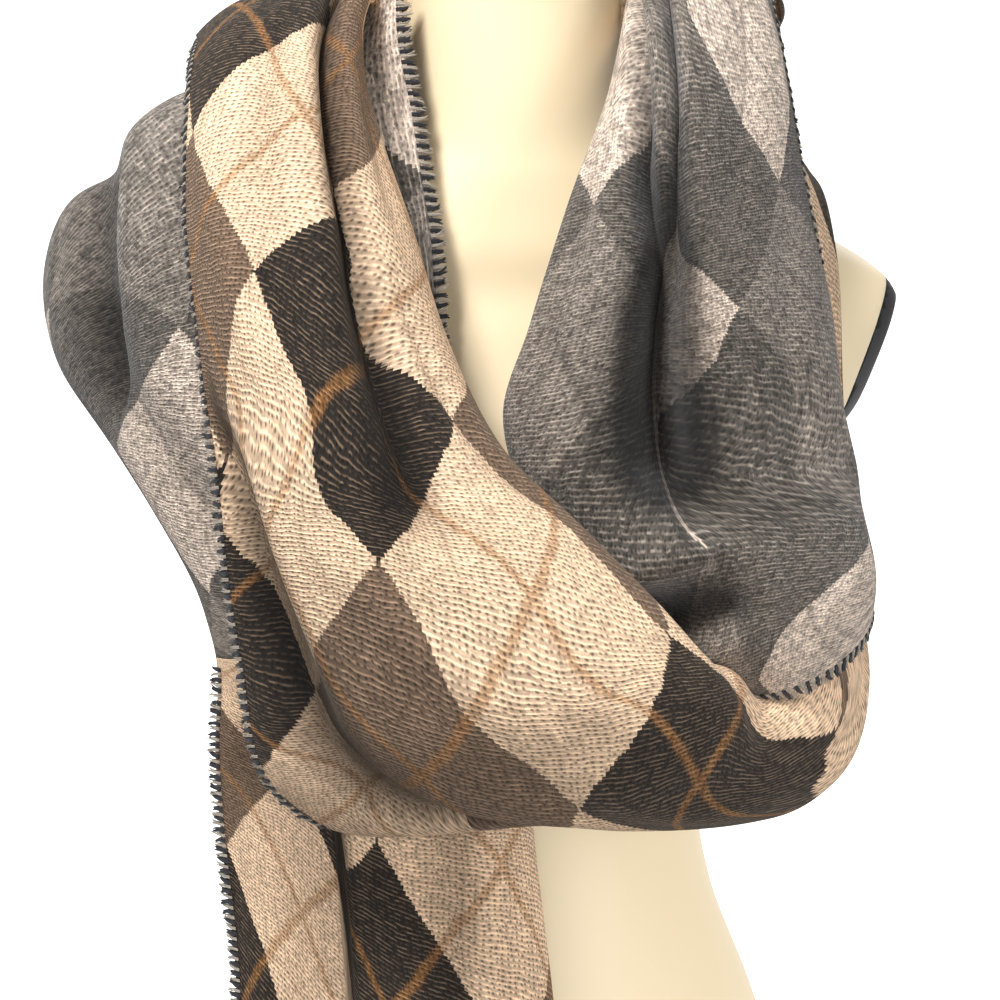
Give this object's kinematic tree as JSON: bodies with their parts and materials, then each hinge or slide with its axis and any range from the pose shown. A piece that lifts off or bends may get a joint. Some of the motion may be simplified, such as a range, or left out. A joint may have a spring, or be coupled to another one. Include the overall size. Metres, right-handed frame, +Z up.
{
  "type": "fringed scarf on dress form",
  "caption": "Long woven argyle scarf with short fringed edges, wound round the neck and shoulders of a limbless dress form, with one end hanging in front.",
  "frame": {"origin": "centre of the dress form's flat base", "axes": "+Z up along the form to the top of its neck; the form's front faces -Y; +X is to the right of the picture, which is the form's own left"},
  "size_m": [0.4376, 0.3718, 0.768],
  "materials": {
    "form_cream": "smooth cream shell with a soft satin sheen",
    "plate_black": "black arm plate, satin",
    "face_wool": "brushed twill argyle in cream, taupe and charcoal with tan lines",
    "reverse_wool": "darker reverse of the same brushed cloth",
    "fringe_yarn": "short dark yarn fringe"
  },
  "bodies": {
    "root": {"dress_form": "form_cream", "left_arm_plate": "plate_black", "right_arm_plate": "plate_black", "shoulder_swag": "face_wool", "front_swag": "face_wool", "corner_swag": "face_wool", "neck_roll": "face_wool", "right_back_drape": "face_wool", "left_back_drape": "face_wool", "right_rise": "face_wool", "tail": "face_wool", "right_fall": "reverse_wool", "left_drape": "reverse_wool", "inner_collar": "reverse_wool", "swag_fringe": "fringe_yarn", "fall_side_fringe": "fringe_yarn", "fall_hem_fringe": "fringe_yarn", "collar_fringe": "fringe_yarn", "tail_side_fringe": "fringe_yarn", "tail_hem_fringe": "fringe_yarn"}
  },
  "joints": []
}
